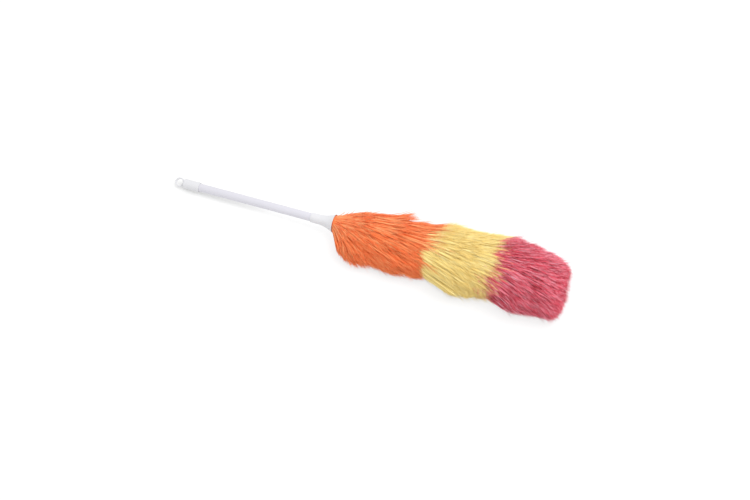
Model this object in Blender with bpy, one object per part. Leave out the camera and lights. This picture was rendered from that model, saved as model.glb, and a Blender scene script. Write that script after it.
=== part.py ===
"""A polywool duster, lying on a table.

A straight handle tube has a moulded cap with a hanging eye over its end and a flared ferrule on its
front. The ferrule holds a core rod, and the wool is tied on the rod in bundles, one behind the other:
orange next to the ferrule, then yellow, then pink. The head is pressed flat where it lies.

Lengths are in metres. The duster's own axis is its X axis, from the hanging eye to the tip of the head,
with x = 0 at the mouth of the ferrule. The whole axis is tilted, because the duster lies on its thin
cap and on its thick head.
"""

import math
import random

import bmesh
import bpy
from mathutils import Vector

# Clearance between pieces that fit on or into each other.
FIT_GAP = 0.0003

# Handle tube.
TUBE_RADIUS = 0.00625
TUBE_WALL = 0.0011
TUBE_SHOWN = 0.182

# Hang cap: a sleeve over the tube's end, and a round eye.
CAP_WALL = 0.0008
CAP_SLEEVE_LENGTH = 0.026
CAP_END_WALL = 0.0022
CAP_SHOULDER_FILLET = 0.0016
CAP_LIP_CHAMFER = 0.0003
EYE_RADIUS = 0.00735
EYE_HOLE_RADIUS = 0.005
EYE_THICKNESS = 0.003
EYE_EDGE_FILLET = 0.0006
EYE_SET_BACK = 0.0072
EYE_ROLL = math.radians(30)
EYE_NECK_OVERLAP = 0.0014
EYE_NECK_ROOT_SHARE = 0.78
EYE_NECK_EYE_SHARE = 0.55
EYE_NECK_THICKNESS = 0.0027

# Ferrule: a socket for the tube, a hub for the rod and a flared mouth for the wool.
FERRULE_LENGTH = 0.037
FERRULE_WALL = 0.0009
FERRULE_MOUTH_RADIUS = 0.014
FERRULE_SOCKET_DEPTH = 0.017
FERRULE_BELL_DEPTH = 0.012
FERRULE_HUB_FLOOR = 0.0015
FLARE_LENGTH = 0.027
FLARE_POWER = 2.2
FLARE_POINTS = 9

# Core rod.
ROD_RADIUS = 0.0035
ROD_CHAMFER = 0.0006

# Bundles of wool on the rod, from the ferrule to the tip.
BUNDLES = (("orange_wool", 3), ("yellow_wool", 4), ("pink_wool", 4))
FIRST_ROOT = -0.0015
BUNDLE_PITCH = 0.027
BAND_WALL = 0.0027
BAND_LENGTH = 0.0088
ROOT_DEPTH = 0.0008
ROOT_SHARE = 0.2
RING_WIDTH = 0.0035
RING_WALL = 0.001
RING_CHAMFER = 0.0003
RING_BEHIND_ROOT = 0.0045

# One lock of wool. Its middle line rises from the band and then runs out beside its neighbours.
LOCKS_PER_BUNDLE = 26
LOCK_REACH = 0.105
LOCK_RISE = 0.022
LOCK_RISE_LENGTH = 0.018
LAYER_SPACING = 0.0054
LOCK_THICKNESS = 0.0033
LOCK_WIDTH_SHARE = 0.82
LOCK_SHORTEST = 0.82
LOCK_KNEE = 0.012
LOCK_WIDEST = 0.07
LOCK_KNEE_THICKNESS = 0.0023
LOCK_SWAY_SHARE = 0.8
LOCK_END_WIDTH_SHARE = 0.33
PRESSED_END_THICKNESS = 0.0016
ROOT_HEIGHT = 0.0007

# Tip bundle: locks in rings on the front of a block that closes the end of the rod.
TIP_BLOCK_RADIUS = 0.007
TIP_BLOCK_LENGTH = 0.012
TIP_BLOCK_FRONT_WALL = 0.002
TIP_BEYOND_LAST_ROOT = 0.0175
TIP_REACH = 0.083
TIP_SPREAD_LENGTH = 0.015
TIP_RING_SPACING = 0.0019
TIP_RINGS = 3
TIP_LOCKS_IN_FIRST_RING = 6
TIP_LOCK_THICKNESS = 0.0011
TIP_LOCK_SHORTEST = 0.93
# How far along a tip lock its stations are, and its width and thickness there, as shares.
TIP_LOCK_STATIONS = ((0.3, 0.9, 1.0), (0.7, 1.0, 0.8), (1.0, 0.3, 0.0))

# Outline of the head round the rod's axis, where it is full: towards one side, the other side and up.
HEAD_NEAR = 0.054
HEAD_FAR = 0.046
HEAD_TOP = 0.045
NEAR_FLARE = 0.018
FAR_FLARE = 0.060
TOP_FLARE = 0.060
LOW_FLARE = 0.015
LOW_FLARE_START = -0.008
STILL_RADIUS = 0.008
UPPER_ROUNDNESS = 2.0
LOWER_ROUNDNESS = 3.5
FAR_TIP_DRAW = 0.5
TOP_TIP_DRAW = 0.25
NEAR_TIP_DRAW = 0.1
TIP_DRAW_LENGTH = 0.096
TIP_DRAW_POWER = 1.8

# The tip is blunt: its outside ends this far short of its middle, on the far side and on the near side.
FAR_TIP_ROUND = 0.033
NEAR_TIP_ROUND = 0.014
TIP_ROUND_ANGLE = math.radians(33)

# How it lies: the slope of the axis, how near to straight down a lock is pressed flat and has a blunt end, and
# the block of space under the table top.
LIE_ANGLE = math.radians(4)
PRESSED_LOCK_ANGLE = math.radians(45)
TABLE_BLOCK_LENGTH = 0.75
TABLE_BLOCK_WIDTH = 0.22
TABLE_BLOCK_DEPTH = 0.045

ROUND_SEGMENTS = 36
SMALL_ROUND_SEGMENTS = 16
BAND_SEGMENTS = 12
SMOOTH_BELOW = math.radians(40)
SEED = 11

# Sizes that follow from the ones above.
CAP_RADIUS = TUBE_RADIUS + FIT_GAP + CAP_WALL
SOCKET_RADIUS = TUBE_RADIUS + FIT_GAP
FERRULE_NECK_RADIUS = SOCKET_RADIUS + FERRULE_WALL
ROD_HOLE_RADIUS = ROD_RADIUS + FIT_GAP
BAND_RADIUS = ROD_HOLE_RADIUS + BAND_WALL
LAST_ROOT = FIRST_ROOT + BUNDLE_PITCH * (sum(count for _, count in BUNDLES) - 1)
HEAD_END = LAST_ROOT + LOCK_REACH
TIP_FRONT = LAST_ROOT + TIP_BEYOND_LAST_ROOT
TIP_END = TIP_FRONT + TIP_REACH
LOCK_SLOPE = LAYER_SPACING / BUNDLE_PITCH
CAP_MOUTH = -FERRULE_LENGTH - TUBE_SHOWN
EYE_CENTRE = -CAP_SLEEVE_LENGTH - EYE_SET_BACK


def clear_scene():
    for thing in list(bpy.data.objects):
        bpy.data.objects.remove(thing, do_unlink=True)


def linear(red, green, blue):
    """A colour as a painter's 0 to 255 values, turned into the shader's linear values."""
    parts = []
    for value in (red, green, blue):
        share = value / 255
        parts.append(share / 12.92 if share <= 0.04045 else ((share + 0.055) / 1.055) ** 2.4)
    return (*parts, 1.0)


def make_material(name, colour, roughness, metallic=0.0):
    material = bpy.data.materials.new(name)
    material.use_nodes = True
    shader = material.node_tree.nodes["Principled BSDF"]
    shader.inputs["Base Color"].default_value = colour
    shader.inputs["Roughness"].default_value = roughness
    shader.inputs["Metallic"].default_value = metallic
    material.diffuse_color = colour
    return material


def make_empty(name, parent=None):
    empty = bpy.data.objects.new(name, None)
    bpy.context.scene.collection.objects.link(empty)
    empty.parent = parent
    return empty


def make_object(name, shape, parent, material=None, smooth=True):
    """Turns a bmesh into a named object under its parent."""
    bmesh.ops.recalc_face_normals(shape, faces=shape.faces)
    mesh = bpy.data.meshes.new(name)
    shape.to_mesh(mesh)
    shape.free()
    if smooth:
        mesh.shade_smooth()
        mesh.set_sharp_from_angle(angle=SMOOTH_BELOW)
    if material:
        mesh.materials.append(material)
    thing = bpy.data.objects.new(name, mesh)
    bpy.context.scene.collection.objects.link(thing)
    thing.parent = parent
    return thing


def make_helper(name, shape, parent):
    """A shape that another piece is joined with or cut by. It is no piece of its own."""
    helper = make_object(name, shape, parent, smooth=False)
    helper.hide_render = True
    helper.display_type = "WIRE"
    return helper


def combine(thing, helper, operation):
    modifier = thing.modifiers.new(helper.name, "BOOLEAN")
    modifier.object = helper
    modifier.operation = operation
    modifier.solver = "EXACT"


def revolved(profile, segments, axis="X"):
    """A closed outline of (along, out) points turned round its own axis, X or Z."""
    shape = bmesh.new()
    vertices = []
    for along, out in profile:
        place = (along, 0, out) if axis == "X" else (out, 0, along)
        vertices.append(shape.verts.new(place))
    edges = [shape.edges.new((a, b)) for a, b in zip(vertices, vertices[1:] + vertices[:1])]
    bmesh.ops.spin(
        shape,
        geom=vertices + edges,
        cent=(0, 0, 0),
        axis=(1, 0, 0) if axis == "X" else (0, 0, 1),
        angle=math.tau,
        steps=segments,
        use_merge=True,
    )
    bmesh.ops.remove_doubles(shape, verts=shape.verts, dist=1e-6)
    on_axis = [
        edge for edge in shape.edges
        if all(math.hypot(*(vertex.co.yz if axis == "X" else vertex.co.xy)) < 1e-7 for vertex in edge.verts)
    ]
    bmesh.ops.delete(shape, geom=on_axis, context="EDGES")
    return shape


def fillet(centre_along, centre_out, radius, start, end, steps=4):
    """Points on a quarter or other part of a circle, in an outline's (along, out) plane."""
    points = []
    for step in range(steps + 1):
        angle = math.radians(start + (end - start) * step / steps)
        points.append((centre_along + radius * math.cos(angle), centre_out + radius * math.sin(angle)))
    return points


def cap_outline():
    """The cap's sleeve and closed end, from the centre of the end round to the bottom of the bore."""
    end = -CAP_SLEEVE_LENGTH
    outline = [(end, 0)]
    inside = CAP_RADIUS - CAP_SHOULDER_FILLET
    outline += fillet(end + CAP_SHOULDER_FILLET, inside, CAP_SHOULDER_FILLET, 180, 90)
    outline.append((-CAP_LIP_CHAMFER, CAP_RADIUS))
    outline.append((0, CAP_RADIUS - CAP_LIP_CHAMFER))
    outline.append((0, SOCKET_RADIUS))
    outline.append((end + CAP_END_WALL, SOCKET_RADIUS))
    outline.append((end + CAP_END_WALL, 0))
    return outline


def mouth_height():
    """How high the ferrule's mouth lies when the lowest edge of the cap touches the table."""
    lowest = min(
        (CAP_MOUTH + along) * math.sin(LIE_ANGLE) - out * math.cos(LIE_ANGLE) for along, out in cap_outline()
    )
    return -lowest


def table_depth(along):
    """How far below the axis the table is, square to the axis."""
    return (mouth_height() + along * math.sin(LIE_ANGLE)) / math.cos(LIE_ANGLE)


def eye_ring():
    """The eye: a flat ring with rounded edges, its hole along Z."""
    half = EYE_THICKNESS / 2
    side = half - EYE_EDGE_FILLET
    inner = EYE_HOLE_RADIUS + EYE_EDGE_FILLET
    outer = EYE_RADIUS - EYE_EDGE_FILLET
    outline = fillet(side, outer, EYE_EDGE_FILLET, 0, 90, 3)
    outline += fillet(-side, outer, EYE_EDGE_FILLET, 90, 180, 3)
    outline += fillet(-side, inner, EYE_EDGE_FILLET, 180, 270, 3)
    outline += fillet(side, inner, EYE_EDGE_FILLET, 270, 360, 3)
    return revolved(outline, ROUND_SEGMENTS, axis="Z")


def eye_neck():
    """The short tapered web between the cap's end and its eye."""
    root_x = -CAP_SLEEVE_LENGTH + CAP_END_WALL / 2
    eye_x = EYE_CENTRE + EYE_RADIUS - EYE_NECK_OVERLAP
    root_half = EYE_NECK_ROOT_SHARE * (CAP_RADIUS - CAP_SHOULDER_FILLET / 2)
    eye_half = EYE_NECK_EYE_SHARE * EYE_RADIUS
    half_thick = EYE_NECK_THICKNESS / 2
    shape = bmesh.new()
    corners = [(root_x, -root_half), (root_x, root_half), (eye_x, eye_half), (eye_x, -eye_half)]
    face = shape.faces.new([shape.verts.new((x, y, -half_thick)) for x, y in corners])
    lifted = bmesh.ops.extrude_face_region(shape, geom=[face])["geom"]
    moved = [part for part in lifted if isinstance(part, bmesh.types.BMVert)]
    bmesh.ops.translate(shape, verts=moved, vec=(0, 0, 2 * half_thick))
    return shape


def make_hang_cap(axis, plastic):
    cap = make_object("hang_cap", revolved(cap_outline(), ROUND_SEGMENTS), axis, plastic)
    cap.location.x = CAP_MOUTH
    cap.rotation_euler.x = EYE_ROLL
    neck = make_helper("eye_neck", eye_neck(), cap)
    ring = make_helper("eye_ring", eye_ring(), cap)
    ring.location.x = EYE_CENTRE
    combine(cap, neck, "UNION")
    combine(cap, ring, "UNION")


def make_handle_tube(axis, plastic):
    """The tube, from the bottom of the cap's bore to the bottom of the ferrule's socket."""
    rear = CAP_MOUTH - CAP_SLEEVE_LENGTH + CAP_END_WALL + FIT_GAP
    front = -FERRULE_LENGTH + FERRULE_SOCKET_DEPTH - FIT_GAP
    bore = TUBE_RADIUS - TUBE_WALL
    outline = [(0, TUBE_RADIUS), (front - rear, TUBE_RADIUS), (front - rear, bore), (0, bore)]
    tube = make_object("handle_tube", revolved(outline, ROUND_SEGMENTS), axis, plastic)
    tube.location.x = rear


def ferrule_outer(along):
    """Outer radius of the ferrule, which flares towards its mouth at x = 0."""
    share = max(0.0, 1 + along / FLARE_LENGTH)
    return FERRULE_NECK_RADIUS + (FERRULE_MOUTH_RADIUS - FERRULE_NECK_RADIUS) * share ** FLARE_POWER


def ferrule_outline():
    """The ferrule's outline, from the socket's lip along the outside to the mouth and back inside."""
    rear = -FERRULE_LENGTH
    socket_floor = rear + FERRULE_SOCKET_DEPTH
    bell_floor = -FERRULE_BELL_DEPTH
    rim = FERRULE_WALL / 2
    outline = [(rear, SOCKET_RADIUS), (rear, FERRULE_NECK_RADIUS - rim)]
    outline.append((rear + rim, FERRULE_NECK_RADIUS))
    for step in range(FLARE_POINTS):
        along = -FLARE_LENGTH + (FLARE_LENGTH - rim) * step / (FLARE_POINTS - 1)
        outline.append((along, ferrule_outer(along)))
    outline += fillet(-rim, FERRULE_MOUTH_RADIUS - rim, rim, 60, -90, 4)[1:]
    for step in range(1, FLARE_POINTS):
        along = -rim + (bell_floor + rim) * step / (FLARE_POINTS - 1)
        outline.append((along, ferrule_outer(along) - FERRULE_WALL))
    outline.append((bell_floor, ROD_HOLE_RADIUS))
    outline.append((socket_floor + FERRULE_HUB_FLOOR, ROD_HOLE_RADIUS))
    outline.append((socket_floor + FERRULE_HUB_FLOOR, 0))
    outline.append((socket_floor, 0))
    outline.append((socket_floor, SOCKET_RADIUS))
    return outline


def make_ferrule(axis, plastic):
    make_object("ferrule", revolved(ferrule_outline(), ROUND_SEGMENTS), axis, plastic)


def make_core_rod(axis, plastic):
    rear = -FERRULE_LENGTH + FERRULE_SOCKET_DEPTH + FERRULE_HUB_FLOOR + FIT_GAP
    front = TIP_FRONT - TIP_BLOCK_FRONT_WALL - FIT_GAP
    outline = [
        (0, 0),
        (0, ROD_RADIUS - ROD_CHAMFER),
        (ROD_CHAMFER, ROD_RADIUS),
        (front - rear - ROD_CHAMFER, ROD_RADIUS),
        (front - rear, ROD_RADIUS - ROD_CHAMFER),
        (front - rear, 0),
    ]
    rod = make_object("core_rod", revolved(outline, SMALL_ROUND_SEGMENTS), axis, plastic)
    rod.location.x = rear


def lock_radius(reach):
    """Distance of a lock's middle line from the rod's axis, at this distance beyond its root."""
    return BAND_RADIUS + LOCK_RISE * (1 - math.exp(-reach / LOCK_RISE_LENGTH)) + LOCK_SLOPE * reach


def flare(along, full, length):
    """How far the head has spread by this point, from the mouth's radius to its full size."""
    mouth = FERRULE_MOUTH_RADIUS - 2 * FERRULE_WALL
    return mouth + (full - mouth) * (1 - math.exp(-max(along, 0) / length))


def tip_draw(along, draw):
    """The head draws in towards its tip, by this share of its size at the end."""
    share = max(0.0, (along - HEAD_END) / TIP_DRAW_LENGTH + 1)
    return 1 - draw * share ** TIP_DRAW_POWER


def tip_round(angle):
    """How far short of the tip's middle the head's outside ends, at this angle round the rod."""
    near = (1 - math.cos(angle - TIP_ROUND_ANGLE)) / 2
    return FAR_TIP_ROUND + (NEAR_TIP_ROUND - FAR_TIP_ROUND) * near


def head_radius(along, angle):
    """Outer radius of the head at this angle round the rod: 0 is the far side, a quarter turn is up."""
    sideways = math.cos(angle)
    upwards = math.sin(angle)
    if sideways > 0:
        half_width = flare(along, HEAD_FAR, FAR_FLARE) * tip_draw(along, FAR_TIP_DRAW)
    else:
        half_width = flare(along, HEAD_NEAR, NEAR_FLARE) * tip_draw(along, NEAR_TIP_DRAW)
    if upwards > 0:
        height = flare(along, HEAD_TOP, TOP_FLARE) * tip_draw(along, TOP_TIP_DRAW)
        roundness = UPPER_ROUNDNESS
    else:
        height = table_depth(along) * (1 - math.exp(-max(along - LOW_FLARE_START, 0) / LOW_FLARE))
        roundness = LOWER_ROUNDNESS
    total = abs(sideways / half_width) ** roundness + abs(upwards / height) ** roundness
    return total ** (-1 / roundness)


def around_axis(along, radius, angle):
    """A place at this distance along the rod's axis, this far from it and at this angle round it."""
    return Vector((along, radius * math.cos(angle), radius * math.sin(angle)))


def pressed(along, angle, radius):
    """Moves a point of an even, round head to its place in the head as it lies.

    It stays at its angle, and points further out stay further out, so locks that were apart stay apart.
    """
    even = lock_radius(min(along - FIRST_ROOT, LOCK_REACH))
    if radius > STILL_RADIUS and even > STILL_RADIUS:
        settled = min(1.0, max(0.0, along / LOCK_KNEE))
        share = (head_radius(along, angle) - STILL_RADIUS) / (even - STILL_RADIUS)
        share = 1 + (share - 1) * settled
        radius = STILL_RADIUS + (radius - STILL_RADIUS) * share
    return around_axis(along, radius, angle)


def add_lock(shape, root, stations):
    """Adds one closed three-sided lock.

    A station is (along, radius, angle, half angle, half thickness). The root is a place in the piece that
    carries the lock, and the lock's section there is a small copy of its section at the first station.
    """
    rings = []
    for along, radius, angle, half_angle, half_thick in stations:
        corners = (
            (angle - half_angle, radius + half_thick),
            (angle + half_angle, radius + half_thick),
            (angle, radius - half_thick),
        )
        if half_thick == 0:
            corners = corners[2:]
        rings.append([shape.verts.new(pressed(along, at, out)) for at, out in corners])
    middle = sum((vertex.co for vertex in rings[0]), Vector()) / 3
    rings.insert(0, [shape.verts.new(root + ROOT_SHARE * (vertex.co - middle)) for vertex in rings[0]])
    shape.faces.new(rings[0])
    for low, high in zip(rings, rings[1:]):
        for side in range(3):
            after = (side + 1) % 3
            if len(high) == 1:
                shape.faces.new((low[after], low[side], high[0]))
            else:
                shape.faces.new((low[after], low[side], high[side], high[after]))
    if len(rings[-1]) == 3:
        shape.faces.new(reversed(rings[-1]))


def turned_half(number):
    """How far a ring of locks is turned, in sectors: every second one covers the gaps of the last."""
    return number % 2 / 2


def straight_down(angle):
    return abs(math.remainder(angle + math.pi / 2, math.tau))


def bundle_locks(root, turned, chance):
    """The locks of one bundle: each keeps to its own sector round the rod."""
    shape = bmesh.new()
    sector = math.tau / LOCKS_PER_BUNDLE
    half_angle = sector / 2 * LOCK_WIDTH_SHARE
    half_thick = LOCK_THICKNESS / 2
    for number in range(LOCKS_PER_BUNDLE):
        sway = sector / 2 * (1 - LOCK_WIDTH_SHARE) * LOCK_SWAY_SHARE
        angle = (number + turned) * sector + chance.uniform(-sway, sway)
        length = chance.uniform(LOCK_SHORTEST, 1)
        on_table = straight_down(angle) < PRESSED_LOCK_ANGLE
        if on_table:
            length = 1
        length = min(length, (TIP_END - tip_round(angle) - root) / LOCK_REACH)
        knee = root + LOCK_KNEE
        widest = root + LOCK_WIDEST * length
        end = root + LOCK_REACH * length
        end_angle = half_angle * LOCK_END_WIDTH_SHARE
        end_thick = PRESSED_END_THICKNESS / 2 if on_table else 0
        start = around_axis(root - ROOT_DEPTH, ROD_HOLE_RADIUS + ROOT_HEIGHT, angle)
        add_lock(shape, start, (
            (knee, lock_radius(LOCK_KNEE), angle, half_angle, LOCK_KNEE_THICKNESS / 2),
            (widest, lock_radius(widest - root), angle, half_angle, half_thick),
            (end, lock_radius(end - root), angle, end_angle, end_thick),
        ))
    return shape


def band_shape(root):
    """The band of roots round the rod. The locks leave its front face."""
    start = root - BAND_LENGTH
    outline = [(start, BAND_RADIUS), (root, BAND_RADIUS), (root, ROD_HOLE_RADIUS), (start, ROD_HOLE_RADIUS)]
    return revolved(outline, BAND_SEGMENTS)


def make_bundle(name, root, turned, chance, frames, wool):
    """A bundle of wool: its locks, joined with the band of roots round the rod and pressed on the table."""
    axis, table_block = frames
    bundle = make_object(name, bundle_locks(root, turned, chance), axis, wool, smooth=False)
    combine(bundle, make_helper(name + "_band", band_shape(root), axis), "UNION")
    combine(bundle, table_block, "DIFFERENCE")


def tip_locks(chance):
    """The locks of the tip bundle, in rings on the front of its block, from which they fan out."""
    shape = bmesh.new()
    half_thick = TIP_LOCK_THICKNESS / 2
    for ring in range(1, TIP_RINGS + 1):
        count = TIP_LOCKS_IN_FIRST_RING * ring
        sector = math.tau / count
        for number in range(count):
            sway = sector / 2 * (1 - LOCK_WIDTH_SHARE) * LOCK_SWAY_SHARE
            angle = (number + turned_half(ring)) * sector + chance.uniform(-sway, sway)
            longest = TIP_REACH - tip_round(angle) * (ring / TIP_RINGS) ** 2
            end = longest * chance.uniform(TIP_LOCK_SHORTEST, 1)
            stations = []
            for place, width, thick in TIP_LOCK_STATIONS:
                reach = end * place
                spread = 1 + reach / TIP_SPREAD_LENGTH
                stations.append((
                    TIP_FRONT + reach,
                    TIP_RING_SPACING * ring * spread,
                    angle,
                    sector / 2 * LOCK_WIDTH_SHARE * width,
                    half_thick * spread * thick,
                ))
            start = around_axis(TIP_FRONT - ROOT_DEPTH, TIP_RING_SPACING * ring, angle)
            add_lock(shape, start, stations)
    return shape


def make_tip_tuft(frames, chance, wool):
    """The tip bundle: its locks, joined with the block that closes the end of the rod."""
    axis, table_block = frames
    tuft = make_object("tip_tuft", tip_locks(chance), axis, wool, smooth=False)
    floor = TIP_FRONT - TIP_BLOCK_FRONT_WALL
    rear = TIP_FRONT - TIP_BLOCK_LENGTH
    outline = [
        (TIP_FRONT, 0),
        (TIP_FRONT, TIP_BLOCK_RADIUS),
        (rear, TIP_BLOCK_RADIUS),
        (rear, ROD_HOLE_RADIUS),
        (floor, ROD_HOLE_RADIUS),
        (floor, 0),
    ]
    combine(tuft, make_helper("tip_block", revolved(outline, SMALL_ROUND_SEGMENTS), axis), "UNION")
    combine(tuft, table_block, "DIFFERENCE")


def make_binding_ring(number, front, seat_radius, axis, metal):
    """A ring that ties a bundle's roots down. Its edges are chamfered."""
    inner = seat_radius + FIT_GAP
    outer = inner + RING_WALL
    outline = [
        (-RING_WIDTH, inner),
        (-RING_WIDTH, outer - RING_CHAMFER),
        (-RING_WIDTH + RING_CHAMFER, outer),
        (-RING_CHAMFER, outer),
        (0, outer - RING_CHAMFER),
        (0, inner),
    ]
    name = f"binding_ring_{number:02d}"
    ring = make_object(name, revolved(outline, SMALL_ROUND_SEGMENTS), axis, metal)
    ring.location.x = front


def make_table_block(parent):
    """The space under the table top, at z = 0, that presses the wool flat."""
    shape = bmesh.new()
    bmesh.ops.create_cube(shape, size=1)
    bmesh.ops.scale(shape, verts=shape.verts, vec=(TABLE_BLOCK_LENGTH, TABLE_BLOCK_WIDTH, TABLE_BLOCK_DEPTH))
    bmesh.ops.translate(shape, verts=shape.verts, vec=(HEAD_END / 2, 0, -TABLE_BLOCK_DEPTH / 2))
    return make_helper("table_block", shape, parent)


def make_head(frames, wools, metal):
    chance = random.Random(SEED)
    number = 0
    for name, count in BUNDLES:
        for place in range(count):
            root = FIRST_ROOT + BUNDLE_PITCH * number
            make_bundle(f"{name}_{place + 1}", root, turned_half(number), chance, frames, wools[name])
            number += 1
            make_binding_ring(number, root - RING_BEHIND_ROOT, BAND_RADIUS, frames[0], metal)
    make_tip_tuft(frames, chance, wools["pink_wool"])
    ring_front = TIP_FRONT - (TIP_BLOCK_LENGTH - RING_WIDTH) / 2
    make_binding_ring(number + 1, ring_front, TIP_BLOCK_RADIUS, frames[0], metal)


def centre_on_origin(frame):
    """Moves the whole duster so that the middle of its length and width is over the origin."""
    bpy.context.view_layer.update()
    graph = bpy.context.evaluated_depsgraph_get()
    places = []
    for thing in bpy.context.scene.objects:
        if thing.type == "MESH" and not thing.hide_render:
            evaluated = thing.evaluated_get(graph)
            mesh = evaluated.to_mesh()
            places += [evaluated.matrix_world @ vertex.co for vertex in mesh.vertices]
            evaluated.to_mesh_clear()
    for side in (0, 1):
        values = [place[side] for place in places]
        frame.location[side] = -(min(values) + max(values)) / 2


def main():
    clear_scene()
    white = make_material("white_plastic", linear(238, 238, 240), 0.4)
    grey = make_material("pale_grey_tube", linear(224, 223, 231), 0.35)
    rod_plastic = make_material("rod_plastic", linear(225, 222, 212), 0.5)
    metal = make_material("binding_metal", linear(190, 190, 190), 0.35, 1.0)
    wools = {
        "orange_wool": make_material("orange_wool", linear(242, 122, 74), 0.55),
        "yellow_wool": make_material("yellow_wool", linear(244, 212, 135), 0.55),
        "pink_wool": make_material("pink_wool", linear(212, 100, 118), 0.55),
    }
    table_frame = make_empty("table_frame")
    axis = make_empty("duster_axis", table_frame)
    axis.location.z = mouth_height()
    axis.rotation_euler.y = -LIE_ANGLE
    table_block = make_table_block(table_frame)
    make_hang_cap(axis, white)
    make_handle_tube(axis, grey)
    make_ferrule(axis, white)
    make_core_rod(axis, rod_plastic)
    make_head((axis, table_block), wools, metal)
    centre_on_origin(table_frame)


main()
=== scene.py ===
"""Dresses a polywool duster: fine strands of split film, satin plastics, a pale tube and a pale table.

The file is laid out as an add-on and is run as a script. It loads the duster's fixed model, makes each piece
around it and sets the stage. Lengths are in metres. Places on the head are given as (along, angle, radius):
how far along the rod's axis beyond the ferrule's mouth, the angle round it, where 0 is the far side and a
quarter turn is up, and the distance from it.
"""

import itertools
import math

import bmesh
import bpy
import numpy as np
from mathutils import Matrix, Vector


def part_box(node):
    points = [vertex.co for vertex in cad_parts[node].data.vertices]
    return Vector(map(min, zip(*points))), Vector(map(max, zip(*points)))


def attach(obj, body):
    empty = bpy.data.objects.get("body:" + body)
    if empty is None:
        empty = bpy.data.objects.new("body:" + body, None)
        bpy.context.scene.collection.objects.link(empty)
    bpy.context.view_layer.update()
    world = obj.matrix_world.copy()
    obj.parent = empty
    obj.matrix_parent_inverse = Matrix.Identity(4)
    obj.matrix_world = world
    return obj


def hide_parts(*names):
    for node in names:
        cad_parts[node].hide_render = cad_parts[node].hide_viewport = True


bl_info = {
    "name": "Polywool Duster",
    "version": (1, 0, 0),
    "blender": (4, 5, 0),
    "location": "3D View > Sidebar > Duster",
    "description": "Makes the wool, the finishes and the stage of a polywool duster around its fixed model",
    "category": "Object",
}

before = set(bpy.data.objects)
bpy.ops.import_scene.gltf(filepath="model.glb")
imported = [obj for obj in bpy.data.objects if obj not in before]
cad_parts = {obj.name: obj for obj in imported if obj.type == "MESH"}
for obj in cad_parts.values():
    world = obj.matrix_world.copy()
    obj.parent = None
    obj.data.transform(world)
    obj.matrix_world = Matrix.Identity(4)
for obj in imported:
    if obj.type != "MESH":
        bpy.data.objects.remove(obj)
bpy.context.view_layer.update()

BODY = "root"


def middle(node):
    """Middle of a fixed piece's box."""
    low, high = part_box(node)
    return (low + high) / 2


# The rod's axis: the middles of two pieces that are alike at both ends lie on it.
ALONG = (middle("core_rod") - middle("handle_tube")).normalized()
ACROSS = Vector((0, 1, 0))
UP = ALONG.cross(ACROSS)

# Middle of the ferrule's mouth, and how far beyond it the rod's middle is.
ROD_MIDDLE = 0.13275
MOUTH = middle("core_rod") - ROD_MIDDLE * ALONG

# What the camera looks at, a point of the head, from the ferrule's mouth.
TARGET_FROM_MOUTH = Vector((0.0745, -0.0272, 0.0057))

# Inside of the ferrule's bell.
BELL_DEPTH = 0.012
BELL_FLOOR_RADIUS = 0.0078
MOUTH_RADIUS = 0.0126

# The first bundle's strands start at this share of the bell's depth and of its floor's radius, and fill its
# mouth up to this share of the mouth's radius. They leave this share of the area round the rod free.
BELL_ROOT_DEPTH = 0.7
BELL_ROOT_RADIUS = 0.85
MOUTH_FILLED = 0.96
MOUTH_FREE = 0.3

# Bundles of wool on the rod.
BUNDLES = {"orange_wool": 3, "yellow_wool": 4, "pink_wool": 4}
FIRST_OF_COLOUR = dict(zip(BUNDLES, itertools.accumulate(BUNDLES.values(), initial=0)))
LAST_BUNDLE = sum(BUNDLES.values()) - 1
FIRST_ROOT = -0.0015
BUNDLE_PITCH = 0.027
LAST_ROOT = FIRST_ROOT + BUNDLE_PITCH * LAST_BUNDLE
ROD_HOLE_RADIUS = 0.0038
BAND_RADIUS = 0.0065
BAND_LENGTH = 0.0088
BAND_ROUND_OFF = 0.0008
BAND_SEGMENTS = 48
LOCKS_PER_BUNDLE = 26
LOCK_REACH = 0.105
LOCK_RISE = 0.022
LOCK_RISE_LENGTH = 0.018
LOCK_SHORTEST = 0.82
LOCK_KNEE = 0.012
LAYER_SPACING = 0.0054
HEAD_END = LAST_ROOT + LOCK_REACH

# Tip bundle. Its strands start this deep in the block's front, and this far inside its edge.
TIP_BLOCK_RADIUS = 0.007
TIP_BLOCK_LENGTH = 0.012
TIP_BLOCK_FRONT_WALL = 0.002
TIP_FRONT = LAST_ROOT + 0.0175
TIP_REACH = 0.083
TIP_END = TIP_FRONT + TIP_REACH
TIP_ROOT_DEPTH = 0.0008
TIP_ROOT_INSET = 0.0005

# Outline of the head round the axis, where it is full: towards the near side, the far side and up.
HEAD_NEAR = 0.054
HEAD_FAR = 0.046
HEAD_TOP = 0.045
NEAR_FLARE = 0.018
FAR_FLARE = 0.060
TOP_FLARE = 0.060
LOW_FLARE = 0.015
LOW_FLARE_START = -0.008
UPPER_ROUNDNESS = 2.0
LOWER_ROUNDNESS = 3.5
FAR_TIP_DRAW = 0.5
TOP_TIP_DRAW = 0.25
NEAR_TIP_DRAW = 0.1
TIP_DRAW_LENGTH = 0.096
TIP_DRAW_POWER = 1.8

# Inside this radius the wool lies as it is tied, and outside it the wool is pressed into the head's outline.
# It is never taken to be thinner than this.
STILL_RADIUS = 0.008
THINNEST_WOOL = LAYER_SPACING / 10

# How far short of the tip's middle its outside ends, on the far side and on the near side, and how flat it is
# before that.
FAR_TIP_ROUND = 0.015
NEAR_TIP_ROUND = 0.012
TIP_BLUNTNESS = 7

# Angle of the far side's middle, which is raised a little, and of the parting from which the wool sags.
FAR_MIDDLE = math.radians(33)
PARTING = math.radians(40)

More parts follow.
